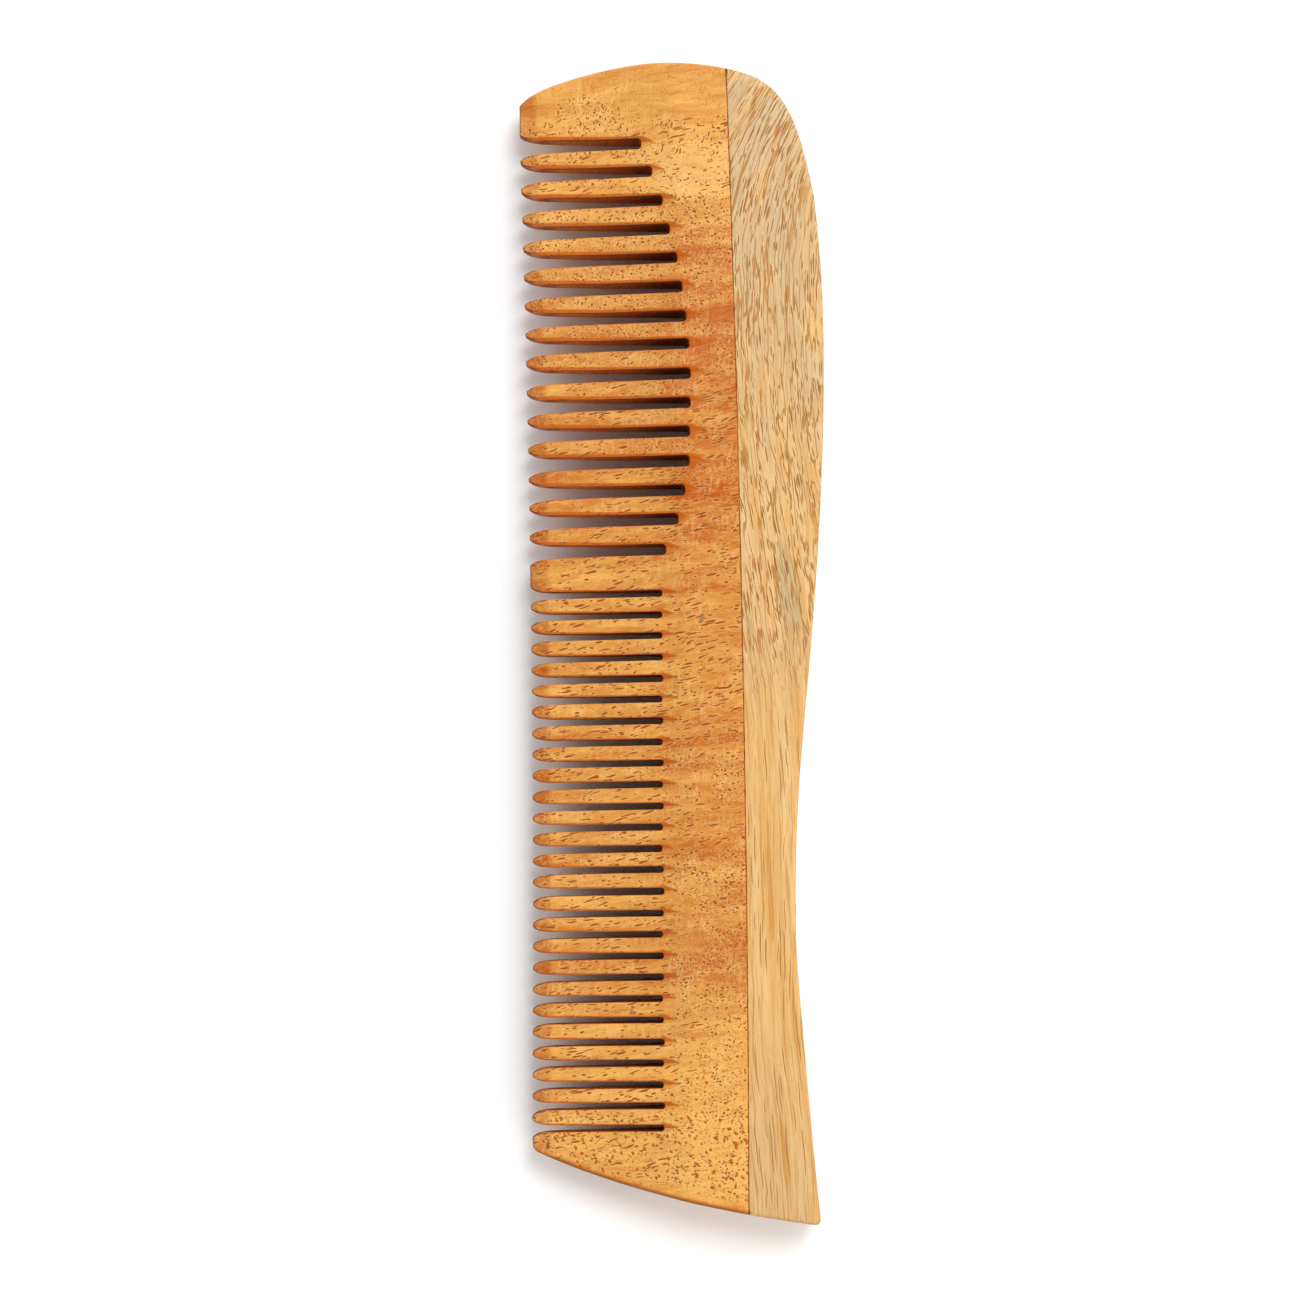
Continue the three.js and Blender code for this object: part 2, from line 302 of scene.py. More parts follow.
def run_out_lines(slot):
    """Lines down the pointed hollow that the saw leaves beyond a slot, clear of the sanded edge."""
    clearance = 0.22
    first = (slot["ease"][1] + clearance) / slot["run_out"]
    beyond = np.linspace(first, 1, 12)
    x = slot["root"] + beyond * slot["run_out"]
    width = run_out_width(slot, beyond)
    upper = np.stack([x, slot["y"] + width], 1)
    lower = np.stack([x, slot["y"] - width], 1)
    middle = np.stack([x, np.full_like(x, slot["y"])], 1)
    quarters = [np.stack([x[:-3], slot["y"] + side * 0.55 * width[:-3]], 1) for side in (-1, 1)]
    outline = np.concatenate([upper, lower[-2::-1]])
    return [outline, middle[:-1], *quarters]


def scoops(x, y, slots):
    """Depth of the hollows at the slots' ends, and how far each point lies down in one, 0 to 1."""
    depth = np.zeros_like(x)
    share = np.zeros_like(x)
    for slot in slots:
        beyond = (x - slot["root"]) / slot["run_out"]
        near = (x > slot["root"] - 1.2) & (beyond < 1) & (np.abs(y - slot["y"]) < 2)
        along = np.clip(beyond[near], 0, 1)
        width = run_out_width(slot, along)
        across = 1 - (np.abs(y[near] - slot["y"]) / np.maximum(width, 1e-3)) ** 1.3
        across = np.clip(across, 0, 1)
        depth[near] = np.maximum(depth[near], slot["scoop"] * (1 - along) * across)
        share[near] = np.maximum(share[near], np.clip(2.5 * across, 0, 1) * (1 - along**2))
    return depth, share


# --- Boards ---


class Outline:
    """A closed plan outline, anticlockwise.

    Each point has an edge size in plan and in height, how flat that edge is (0 round, 1 a plain
    chamfer), whether the joint's tongue is there, and the distance from the tooth's tip along a
    sawn wall (0 elsewhere).
    """

    def __init__(self):
        self.parts = {"points": [], "size": [], "fall": [], "flat": [], "row": [], "sawn": []}

    def add(self, points, size, flat=0.0, fall=None, row=0.0, sawn=0.0):
        points = np.atleast_2d(points)
        self.parts["points"].append(points)
        fall = size if fall is None else fall
        values = {"size": size, "fall": fall, "flat": flat, "row": row, "sawn": sawn}
        for name, value in values.items():
            self.parts[name].append(np.broadcast_to(value, len(points)))

    def arrays(self):
        return tuple(np.concatenate(part) for part in self.parts.values())


def edge_profile(angle, flat):
    """Inset and drop of an edge's profile, as shares of its size, from its wall up to its face."""
    share = angle / (math.pi / 2)
    inset = flat * share + (1 - flat) * (1 - math.cos(angle))
    drop = flat * (1 - share) + (1 - flat) * (1 - math.sin(angle))
    return inset, drop


def inward_offsets(points, size):
    """The move of each outline point that shifts both its edges inwards by their edge size."""
    along = np.roll(points, -1, 0) - points
    along /= np.linalg.norm(along, axis=1)[:, None]
    normal = np.stack([-along[:, 1], along[:, 0]], 1)
    before = np.roll(normal, 1, 0)
    edge_size = (size + np.roll(size, -1)) / 2
    size_before = np.roll(edge_size, 1)
    cross = before[:, 0] * normal[:, 1] - before[:, 1] * normal[:, 0]
    mitre = np.abs(cross) > 0.3
    safe = np.where(mitre, cross, 1)
    x = (size_before * normal[:, 1] - edge_size * before[:, 1]) / safe
    y = (before[:, 0] * edge_size - normal[:, 0] * size_before) / safe
    middle = before + normal
    middle /= np.linalg.norm(middle, axis=1)[:, None]
    plain = middle * size[:, None]
    return np.where(mitre[:, None], np.stack([x, y], 1), plain)


def inside(points, polygon):
    """Which points lie inside a polygon, by counting edge crossings."""
    a, b = polygon, np.roll(polygon, -1, 0)
    result = np.zeros(len(points), bool)
    for (ax, ay), (bx, by) in zip(a, b):
        if ay == by:
            continue
        crosses = (ay > points[:, 1]) != (by > points[:, 1])
        at = ax + (points[:, 1] - ay) * (bx - ax) / (by - ay)
        result ^= crosses & (points[:, 0] < at)
    return result


def far_from(points, others, distance):
    """Which points are further than a distance from all the others."""
    keep = np.ones(len(points), bool)
    for start in range(0, len(points), 500):
        part = points[start : start + 500]
        gaps = np.hypot(part[:, None, 0] - others[None, :, 0], part[:, None, 1] - others[None, :, 1])
        keep[start : start + 500] = gaps.min(1) > distance
    return keep


def face_grid(low, high, step):
    """A staggered grid of points over a rectangle."""
    xs = np.arange(low[0], high[0], step)
    ys = np.arange(low[1], high[1], step * 0.87)
    grid_x, grid_y = np.meshgrid(xs, ys)
    grid_x[1::2] += step / 2
    return np.stack([grid_x.ravel(), grid_y.ravel()], 1)


def fill_face(ring, extra, lines):
    """Triangles over a ring outline, using lines and loose points inside it."""
    count = len(ring)
    border = [(i, (i + 1) % count) for i in range(count)]
    points = [ring]
    next_point = count
    for line in lines:
        line = line[far_from(line, ring, 0.16)]
        border += [(next_point + i, next_point + i + 1) for i in range(len(line) - 1)]
        points.append(line)
        next_point += len(line)
    extra = extra[inside(extra, ring)]
    extra = extra[far_from(extra, np.concatenate(points), 0.2)]
    points = [Vector(p) for p in np.concatenate(points + [extra])]
    made, _, faces, origins, _, _ = delaunay_2d_cdt(points, border, [], 1, 1e-6, True)
    made = np.array([tuple(p) for p in made])
    middles = made[np.array([list(face) for face in faces])].mean(1)
    kept = [face for face, within in zip(faces, inside(middles, ring)) if within]
    return made, kept, origins


class Surface:
    """A board's points, row by row, and what its material needs to know at each of them.

    That is how raw the saw left the wall, how far round an eased edge it lies (which sets the
    edge's rubbed colour and its painted shade), how far the point lies down in a hollow, and how far
    down the board's thickness it is, each from 0 to 1.
    """

    def __init__(self, slots):
        self.slots = slots
        self.rows = []
        self.marks = {"sawn": [], "edge": [], "hollow": [], "down": []}

    def add(self, places, **marks):
        self.rows.append(places)
        for name, value in marks.items():
            self.marks[name].append(np.broadcast_to(value, len(places)))

    def add_to_face(self, plan, drop, side, edge_wear_and_shade):
        """Adds points to the upper face (side 1) or the lower (side -1), sunk by a drop."""
        depth, hollow = scoops(*plan.T, self.slots)
        z = MID_Z + side * (half_thickness(*plan.T, self.slots) - depth - drop)
        down = 0.5 - side / 2
        self.add(np.column_stack([plan, z]), sawn=0, edge=edge_wear_and_shade, hollow=hollow, down=down)


def wall_faces(loops, count):
    """Quads between neighbouring rows of a closed outline."""
    here = np.arange(count)
    beside = np.roll(here, -1)
    faces = []
    for k in range(loops - 1):
        a, b = k * count, (k + 1) * count
        faces += np.column_stack([a + here, b + here, b + beside, a + beside]).tolist()
    return faces


def cap_faces(surface, count, extra, lines):
    """Fills the upper and lower face between the first and the last row, which are alike in plan."""
    loops = len(surface.rows)
    made, triangles, origins = fill_face(surface.rows[0][:, :2], extra, lines)
    on_ring = np.array([origin[0] if origin and origin[0] < count else -1 for origin in origins])
    free = np.flatnonzero(on_ring < 0)
    top_index = on_ring.copy()
    bottom_index = on_ring + (loops - 1) * count
    top_index[free] = loops * count + np.arange(len(free))
    bottom_index[free] = loops * count + len(free) + np.arange(len(free))
    for side in (1, -1):
        surface.add_to_face(made[free], 0, side, 0)
    triangles = np.array([list(triangle) for triangle in triangles])
    return top_index[triangles].tolist() + bottom_index[triangles[:, ::-1]].tolist()


def build_board(name, outline, shift, extra, lines, slots):
    """A board with eased edges, filled faces, and the tongue or groove along its joint wall."""
    points, size, fall, flat, row, sawn = outline.arrays()
    count = len(points)
    offsets = inward_offsets(points, size)
    fall = np.maximum(fall, np.maximum(np.roll(fall, 1), np.roll(fall, -1)))
    surface = Surface(slots)

    def add_ring(angle, side):
        inset, drop = edge_profile(angle, flat)
        plan = points + offsets * inset[:, None]
        deepest = 0.9 * half_thickness(*plan.T, slots)
        surface.add_to_face(plan, np.minimum(fall, deepest) * drop, side, 1 - angle / (math.pi / 2))

    angles = np.linspace(0, np.pi / 2, RING_STEPS + 1)
    for angle in angles[::-1]:
        add_ring(angle, 1)
    top_z = surface.rows[-1][:, 2]
    bottom_z = 2 * MID_Z - top_z
    raw = smooth_step(sawn, SAWN_FROM, SAWN_FULL)
    edge_wear_and_shade = np.where(sawn != 0, SAWN_EDGE_WEAR_AND_SHADE, OUTER_EDGE_WEAR_AND_SHADE)
    for k, share in enumerate(WALL_SHARES):
        height = top_z + (bottom_z - top_z) * share
        places = joint_profile(points, height, k, shift, row)
        surface.add(places, sawn=raw, edge=edge_wear_and_shade, hollow=0, down=share)
    for angle in angles:
        add_ring(angle, -1)

    faces = wall_faces(len(surface.rows), count)
    faces += cap_faces(surface, count, extra, lines)
    return new_piece(name, np.concatenate(surface.rows), faces, surface.marks)


def joint_profile(points, height, k, shift, row):
    """A row of wall points, moved at the joint to make the tongue or the groove."""
    place = points.copy()
    height = height.copy()
    tongued = row > 0.5
    height[tongued] = tongue_levels(shift)[k]
    if k in (1, 2):
        place[tongued, 0] += TONGUE_DEPTH
    return np.column_stack([place, height])


def tongue_levels(room):
    """Heights of the four corners of the tongue's profile, from the top down."""
    upper = MID_Z + TONGUE_THICK / 2 + room
    lower = MID_Z - TONGUE_THICK / 2 - room
    return (upper, upper, lower, lower)


def joint_points(shift, low, high):
    """Points up the joint line between two corners, and which of them the tongue is at."""
    step = 2.0
    close = 0.01
    ends = [TONGUE_LOW_Y - shift, TONGUE_HIGH_Y + shift]
    ys = np.arange(low[1] + 1, high[1] - 1, step)
    ys = ys[(np.abs(ys - ends[0]) > 0.5) & (np.abs(ys - ends[1]) > 0.5)]
    ys = np.sort(np.concatenate([ys, [ends[0] - close, ends[0], ends[1], ends[1] + close]]))
    tongued = ((ys >= ends[0]) & (ys <= ends[1])).astype(float)
    return np.stack([line_x(JOINT_LINE, ys) + shift, ys], 1), tongued


def toothed_board(slots):
    """The board with the teeth: up the joint, round the top end, along the teeth, and back."""
    outline = Outline()
    top_teeth, top_corner, _ = joint_crossing(top_edge(), 0)
    low_teeth, low_corner, _ = joint_crossing(bottom_edge(), 0)
    joint, tongued = joint_points(0, low_corner, top_corner)
    outline.add(low_corner, JOINT_ROUND, END_FLAT)
    outline.add(joint, JOINT_ROUND, row=tongued)
    outline.add(top_corner, EDGE_ROUND, EDGE_FLAT)
    top_points = clear_of(top_teeth, top_corner)
    near_tip = smooth_step(-top_points[:, 0], 19, 23)
    outline.add(top_points, EDGE_ROUND + (TIP_ROUND - EDGE_ROUND) * near_tip, EDGE_FLAT)
    outline.add((line_x(TIP_LINE, 86.2), 86.2), TIP_ROUND, fall=TIP_FALL)
    for slot in slots:
        points, depth, straight = slot_path(slot)
        size, fall = slot_ease(depth, straight, slot)
        outline.add(points, size, fall=fall, sawn=depth)
    low_points = clear_of(low_teeth, low_corner)
    near_tip = 1 - smooth_step(low_points[:, 0], -24, -20)
    outline.add(low_points, END_ROUND + (TIP_ROUND - END_ROUND) * near_tip, END_FLAT)
    extra = [face_grid((-26, BOTTOM_Y), (12, TOP_Y), 1.1)]
    lines = []
    for slot in slots:
        low = (slot["root"] + 0.2, slot["y"] - 1.5)
        high = (slot["root"] + slot["run_out"] + 0.5, slot["y"] + 1.5)
        extra.append(face_grid(low, high, 0.4))
        lines += run_out_lines(slot)
    extra = np.concatenate(extra)
    return build_board("toothed_board", outline, 0, thin(extra), lines, slots)


def thin(points):
    """Drops points that fall almost on each other where two grids meet."""
    cells = np.round(points / 0.2).astype(int)
    _, first = np.unique(cells, axis=0, return_index=True)
    return points[np.sort(first)]


def spine_board():
    """The spine: round its lower end, up its back, round its top end, and down the joint."""
    outline = Outline()
    _, top_corner, top_spine = joint_crossing(top_edge(), GLUE)
    _, low_corner, low_spine = joint_crossing(bottom_edge(), GLUE)
    joint, tongued = joint_points(GLUE, low_corner, top_corner)
    low_spine = clear_of(low_spine, low_corner)
    back = spine_back()
    near_end = smooth_step(-back[:, 1], 84, 93)
    outline.add(low_corner, END_ROUND, END_FLAT)
    outline.add(low_spine, END_ROUND, END_FLAT)
    outline.add(back, EDGE_ROUND + (END_ROUND - EDGE_ROUND) * near_end, EDGE_FLAT)
    outline.add(clear_of(top_spine, top_corner), EDGE_ROUND, EDGE_FLAT)
    outline.add(top_corner, EDGE_ROUND, EDGE_FLAT)
    outline.add(joint[::-1], JOINT_ROUND, row=tongued[::-1])
    extra = face_grid((8, BOTTOM_Y), (26, TOP_Y), 1.6)
    return build_board("spine_board", outline, GLUE, extra, [], [])


def glue_end(corners, inwards, size, flat):
    """Stations round one end of the glue, from its wall inwards."""
    stations = []
    for angle in np.linspace(0, math.pi / 2, RING_STEPS + 1):
        inset, fall = (size * share for share in edge_profile(angle, flat))
        move = (0, inwards * max(inset, GLUE_SUNK))
        stations.append([corner + move for corner in corners] + [fall, False])
    return stations


def glue_stations():
    """Places along the joint from end to end: inner and outer point, fall of the edge, tongue."""
    low = [joint_crossing(bottom_edge(), shift)[1] for shift in (0, GLUE)]
    high = [joint_crossing(top_edge(), shift)[1] for shift in (0, GLUE)]
    joint, tongued = joint_points(0, low[0], high[0])
    stations = glue_end(low, 1, END_ROUND, END_FLAT)
    stations += [[point, point + (GLUE, 0), 0, at > 0.5] for point, at in zip(joint, tongued)]
    return stations + glue_end(high, -1, EDGE_ROUND, EDGE_FLAT)[::-1]


def glue_line():
    """The film of glue in the joint, a hair below both faces."""
    verts = []
    stations = glue_stations()
    for inner, outer, fall, has_tongue in stations:
        sunk = fall + GLUE_SUNK
        high, low = THICKNESS - sunk, sunk
        plain = [high + (low - high) * share for share in WALL_SHARES]
        depths = [0, TONGUE_DEPTH, TONGUE_DEPTH, 0] if has_tongue else [0, 0, 0, 0]
        for (x, y), room in ((inner, 0), (outer, GLUE)):
            levels = tongue_levels(room) if has_tongue else plain
            side = [(x, y, high)]
            side += [(x + depth, y, level) for depth, level in zip(depths, levels)]
            side += [(x, y, low)]
            verts += side if room == 0 else side[::-1]
    count = 2 * (len(WALL_SHARES) + 2)
    faces = [tuple(range(count)), tuple(len(verts) - 1 - i for i in range(count))]
    return new_piece("glue_line", verts, faces + wall_faces(len(stations), count), {})


def new_piece(name, verts, faces, attributes):
    """Makes a named object from points in millimetres, smooth except at its sharp corners."""
    mesh = bpy.data.meshes.new(name)
    mesh.from_pydata((np.asarray(verts) * MM).tolist(), [], faces)
    for label, values in attributes.items():
        layer = mesh.attributes.new(label, "FLOAT", "POINT")
        layer.data.foreach_set("value", np.concatenate(values).astype(np.float32))
    work = bmesh.new()
    work.from_mesh(mesh)
    bmesh.ops.recalc_face_normals(work, faces=work.faces)
    work.to_mesh(mesh)
    work.free()
    mesh.validate()
    mesh.polygons.foreach_set("use_smooth", [True] * len(mesh.polygons))
    mesh.set_sharp_from_angle(angle=math.radians(38))
    mesh.update()
    piece = bpy.data.objects.new(name, mesh)
    bpy.context.collection.objects.link(piece)
    return piece


# --- Materials ---

# How bright a pure white surface lies in the studio light, where 1 is display white.
LIGHT_ON_FLOOR = 1.4
# The share of display white that the satin finish adds to every colour.
SHEEN = 0.04


def rgb(red, green, blue):
    """The base colour that looks like this display colour, 0 to 255, in the scene's light."""
    linear = []
    for value in (red, green, blue):
        value /= 255
        value = value / 12.92 if value <= 0.04045 else ((value + 0.055) / 1.055) ** 2.4
        linear.append(max(value - SHEEN, 0.004) / LIGHT_ON_FLOOR)
    return (*linear, 1)


class Nodes:
    """Builds the nodes of a material or of the world. Inputs are sockets to link or plain values."""

    def __init__(self, owner):
        owner.use_nodes = True
        self.owner = owner
        self.tree = owner.node_tree

    def add(self, kind, inputs, **settings):
        node = self.tree.nodes.new("ShaderNode" + kind)
        for key, value in settings.items():
            setattr(node, key, value)
        for key, value in inputs.items():
            self.set(node, key, value)
        return node

    def set(self, node, key, value):
        socket = node.inputs[key]
        if isinstance(value, bpy.types.NodeSocket):
            self.tree.links.new(value, socket)
        else:
            socket.default_value = value

    def math(self, operation, a, b=0.0, clamp=False):
        return self.add("Math", {0: a, 1: b}, operation=operation, use_clamp=clamp).outputs[0]

    def times(self, first, *others):
        for other in others:
            first = self.math("MULTIPLY", first, other)
        return first

    def most(self, first, *others):
        for other in others:
            first = self.math("MAXIMUM", first, other)
        return first

    def ramp(self, value, low, high, to_low=0.0, to_high=1.0):
        """A smooth step from low to high."""
        inputs = {"Value": value, "From Min": low, "From Max": high, "To Min": to_low, "To Max": to_high}
        return self.add("MapRange", inputs, interpolation_type="SMOOTHSTEP").outputs[0]

    def mix(self, factor, a, b):
        """Goes from colour a to colour b as the factor goes from 0 to 1."""
        return self.add("Mix", {"Factor": factor, 6: a, 7: b}, data_type="RGBA").outputs[2]

    def speckled(self, colour, place, lengths, low, high):
        """Scales a colour's brightness between low and high by a fine noise."""
        speckle = self.ramp(self.noise(place, lengths, 2, 0.7), 0.25, 0.75)
        factor = self.add("MapRange", {"Value": speckle, "To Min": low, "To Max": high}).outputs[0]
        return self.add("VectorMath", {0: colour, "Scale": factor}, operation="SCALE").outputs[0]

    def place(self):
        """The point on the piece, in millimetres."""
        coords = self.add("TexCoord", {}).outputs["Object"]
        return self.add("VectorMath", {0: coords, "Scale": 1 / MM}, operation="SCALE").outputs[0]

    def split(self, vector):
        return self.add("SeparateXYZ", {0: vector}).outputs

    def stretched(self, place, lengths, turn=0.0, offset=(0, 0, 0)):
        """Coordinates, turned about Z, that count one for each of the lengths along X, Y and Z."""
        turned = self.add("Mapping", {"Vector": place, "Rotation": (0, 0, -math.radians(turn))})
        scale = tuple(1 / length for length in lengths)
        inputs = {"Vector": turned.outputs[0], "Scale": scale, "Location": offset}
        return self.add("Mapping", inputs).outputs[0]

    def noise(self, place, lengths, detail, roughness=0.5, turn=0.0, offset=(0, 0, 0)):
        """Noise with features of these lengths along X, Y and Z, turned about Z."""
        vector = self.stretched(place, lengths, turn, offset)
        inputs = {"Vector": vector, "Scale": 1.0, "Detail": detail, "Roughness": roughness}
        return self.add("TexNoise", inputs).outputs[0]

    def wobble(self, place, lengths, amount):
        """Shifts coordinates sideways by a noise, so that lines aren't ruled."""
        inputs = {"Vector": self.stretched(place, lengths), "Scale": 1.0, "Detail": 1.0}
        noise = self.add("TexNoise", inputs).outputs["Color"]
        middle = (0.5, 0.5, 0.5)
        centred = self.add("VectorMath", {0: noise, 1: middle}, operation="SUBTRACT").outputs[0]
        scaled = self.add("VectorMath", {0: centred, "Scale": amount}, operation="SCALE").outputs[0]
        return self.add("VectorMath", {0: place, 1: scaled}, operation="ADD").outputs[0]

    def attribute(self, name):
        return self.add("Attribute", {}, attribute_name=name).outputs["Fac"]

    def pores(self, place, spacing, turn, size, share, where, offset=(0, 0, 0)):
        """Open pores, one to a cell of the given spacing: the pore, and the pale wood round it.

        Size is a pore's radius as a share of the spacing, and share is how many cells have one.
        """
        vector = self.stretched(place, spacing, turn, offset)
        cells = self.add("TexVoronoi", {"Vector": vector, "Scale": 1.0, "Randomness": 1.0})
        chance, girth, _ = self.add("SeparateColor", {0: cells.outputs["Color"]}).outputs
        girth = self.add("MapRange", {"Value": girth, "To Min": 0.55, "To Max": 1.15}).outputs[0]
        distance = self.math("DIVIDE", cells.outputs["Distance"], girth)
        present = self.times(self.math("LESS_THAN", chance, share), where)
        pore = self.times(self.ramp(distance, size * 0.5, size, 1.0, 0.0), present)
        rim = self.times(self.ramp(distance, size, size * 1.9, 1.0, 0.0), present)
        return pore, rim

    def lines(self, place, spacing, turn, width, where, offset=(0, 0, 0)):
        """Thin wandering lines: the contours of a stretched noise."""
        noise = self.noise(place, spacing, 1, 0.5, turn, offset)
        off = self.math("ABSOLUTE", self.math("SUBTRACT", noise, 0.5))
        return self.times(self.ramp(off, width * 0.3, width, 1.0, 0.0), where)

    def spot(self, place, centre, reach):
        """1 at a centre, falling to 0 at the given reach along X, Y and Z."""
        offset = tuple(-c / r for c, r in zip(centre, reach))
        vector = self.stretched(place, reach, 0, offset)
        far = self.add("VectorMath", {0: vector}, operation="LENGTH").outputs["Value"]
        return self.ramp(far, 0.4, 1.0, 1.0, 0.0)

    def along_comb(self, place, stops):
        """A grey value given at places along the comb."""
        y = self.split(place)[1]
        inputs = {"Value": y, "From Min": BOTTOM_Y, "From Max": TOP_Y}
        node = self.add("ValToRGB", {"Fac": self.add("MapRange", inputs).outputs[0]})
        ramp = node.color_ramp
        for i, (at, value) in enumerate(stops):
            position = (at - BOTTOM_Y) / (TOP_Y - BOTTOM_Y)
            stop = ramp.elements[i] if i < 2 else ramp.elements.new(position)
            stop.position = position
            stop.color = (value, value, value, 1)
        return node.outputs[0]

    def with_pores(self, colour, layers, paleness, pale, dark, deep):
        """Draws pores with pale rims over a colour. Gives the colour and the depth of the pores."""
        pore, rim = (self.most(*parts) for parts in zip(*layers))
        colour = self.mix(self.times(rim, paleness), colour, pale)
        colour = self.mix(self.times(self.ramp(pore, 0.0, 0.6), 0.85), colour, dark)
        return self.mix(self.times(self.ramp(pore, 0.5, 1.0), 0.7), colour, deep), pore

    def oiled_wood(self, colour, relief, depth, roughness):
        """A thin satin oil finish over the colour, with the relief of the pores."""
        bump = self.add("Bump", {"Height": relief, "Strength": 0.9, "Distance": depth * MM})
        self.finish(colour, roughness, 0.15)
        self.set(self.tree.nodes["Principled BSDF"], "Normal", bump.outputs[0])
        return self.owner

    def finish(self, colour, roughness, specular):
        """Sets the surface's own colour, roughness and shine."""
        surface = self.tree.nodes["Principled BSDF"]
        self.set(surface, "Base Color", colour)
        self.set(surface, "Roughness", roughness)
        self.set(surface, "Specular IOR Level", specular)


# How orange the toothed board is along the comb, from 0, pale, to 1, deep.
BOARD_TONES = (
    (-95, 0.0), (-80, 0.0), (-72, 0.08), (-66, 0.22), (-57, 0.48), (-54, 0.82), (-48, 0.78),
    (-45, 0.52), (-38, 0.5), (-34, 0.78), (-29, 0.55), (-24, 0.59), (-18, 0.72), (-9, 0.5),
    (4, 0.5), (12, 0.58), (22, 0.86), (33, 0.96), (36, 0.72), (42, 0.87), (47, 0.77), (49, 1.0),
    (54, 1.0), (57, 0.68), (63, 0.87), (65, 0.55), (70, 0.4), (73, 0.06), (80, 0.06), (84, 0.25),
    (95, 0.35),
)
# How much of the board's figure is dots and curls instead of dashes.
BOARD_CURLS = (
    (-95, 1.0), (-74, 1.0), (-70, 0.6), (-52, 0.7), (-46, 0.5), (-40, 0.9), (-35, 0.9), (-33, 0.1),
    (-28, 0.1), (-26, 1.0), (-21, 0.9), (-17, 0.2), (-8, 0.0), (12, 0.0), (20, 0.3), (40, 0.5),
    (52, 0.6), (63, 0.8), (71, 0.95), (74, 0.3), (76, 0.9), (78, 0.2), (80, 0.5), (95, 0.6),
)
# The middles of the marks on the board's upper face.
PALE_PATCH = (3, 76.5, THICKNESS)
DARK_CLUSTER = (-13.5, 87, THICKNESS)
GREY_FLECK = (4.0, 2.9, THICKNESS)
# The lower end slants by this much. Y + slope * X is about even along it.
END_SLOPE = 0.19


def board_places(nodes):
    """Where a point lies on the toothed board, and the marks of its surface there."""
    at = SimpleNamespace(place=nodes.place())
    at.x, at.y, _ = nodes.split(at.place)
    at.banded = nodes.wobble(at.place, (11, 8, 8), 4)
    at.wavy = nodes.wobble(nodes.wobble(at.place, (9, 5, 4), 2.0), (2.2, 1.2, 1.5), 0.4)
    at.curly = nodes.wobble(at.place, (1.3, 1.3, 1.3), 0.9)
    off_middle = nodes.math("SUBTRACT", at.y, TIP_LINE[2])
    bow = nodes.times(off_middle, off_middle, TIP_LINE[1] / 100**2)
    at.from_tip = nodes.math("ADD", nodes.math("SUBTRACT", at.x, TIP_LINE[0]), bow)
    at.from_end = nodes.math("ADD", at.y, nodes.times(at.x, END_SLOPE))
    at.patches = nodes.noise(at.place, (6, 4, 5), 1)
    at.fibre = nodes.noise(at.wavy, (4, 0.4, 0.6), 3, 0.6, 7)
    at.saw_marks = nodes.noise(at.place, (0.3, 3, 5), 2, 0.6)
    for mark in ("sawn", "edge", "hollow", "down"):
        setattr(at, mark, nodes.attribute(mark))
    return at


def board_ground(nodes, at):
    """The board's colour under its pores: bands, ribbons, fibres, a pale patch, painted shade on the tip
    facets and a painted sheen.
    """
    band = nodes.along_comb(at.banded, BOARD_TONES)
    on_teeth = nodes.ramp(at.x, 3, -6, 0.0, 0.6)
    band = nodes.mix(on_teeth, band, (0.25, 0.25, 0.25, 1))
    # Painted shade: the sanded facet at each tip, which slopes away from the light, is made deeper
    # orange.
    facet_painted_shade = nodes.ramp(at.from_tip, 3.3, 2.3, 0.0, 0.4)
    ribbon = nodes.noise(at.wavy, (12, 1.8, 4), 3, 0.6, 4)
    swing = nodes.times(nodes.math("SUBTRACT", ribbon, 0.5), 1.6)
    tone = nodes.math("ADD", nodes.math("ADD", band, facet_painted_shade), swing, True)
    colour = nodes.mix(tone, rgb(252, 190, 106), rgb(202, 107, 26))
    fibres = nodes.ramp(at.fibre, 0.45, 0.75, 0.0, 0.4)
    colour = nodes.mix(fibres, colour, rgb(200, 106, 34))
    pale = nodes.times(nodes.spot(at.banded, PALE_PATCH, (13, 6.5, 9)), 0.25)
    colour = nodes.mix(pale, colour, rgb(254, 212, 150))
    # Painted sheen: pale streaks along the grain, in patches, that stand for the wood's shimmer.
    painted_sheen = nodes.noise(nodes.wobble(at.place, (2, 2, 2), 0.5), (0.4, 2.4, 2), 2, 0.6, -6)
    painted_sheen = nodes.times(nodes.ramp(painted_sheen, 0.45, 0.7), nodes.ramp(at.patches, 0.45, 0.6), 0.35)
    return nodes.mix(painted_sheen, colour, rgb(254, 212, 136))


def board_figure(nodes, at):
    """Where the board has dots and where it has dashes, and how open its wood is anywhere."""
    patchy = nodes.noise(at.place, (7, 4, 6), 2, 0.5, 0, (5, 1, 0))
    uneven = nodes.math("SUBTRACT", patchy, 0.5)
    curls = nodes.math("ADD", nodes.along_comb(at.banded, BOARD_CURLS), uneven)
    on_fine_teeth = nodes.times(nodes.ramp(at.x, -1, -4), nodes.ramp(at.y, 8, 6))
    curls = nodes.math("SUBTRACT", curls, nodes.times(on_fine_teeth, 0.55))
    dotted = nodes.ramp(curls, 0.4, 0.6)
    dashed = nodes.ramp(curls, 0.6, 0.42)
    rich = nodes.noise(at.place, (6, 4, 6), 1, 0.5, 0, (2, 7, 3))
    rich = nodes.ramp(rich, 0.25, 0.45, 0.3, 1.0)
    return dotted, dashed, rich


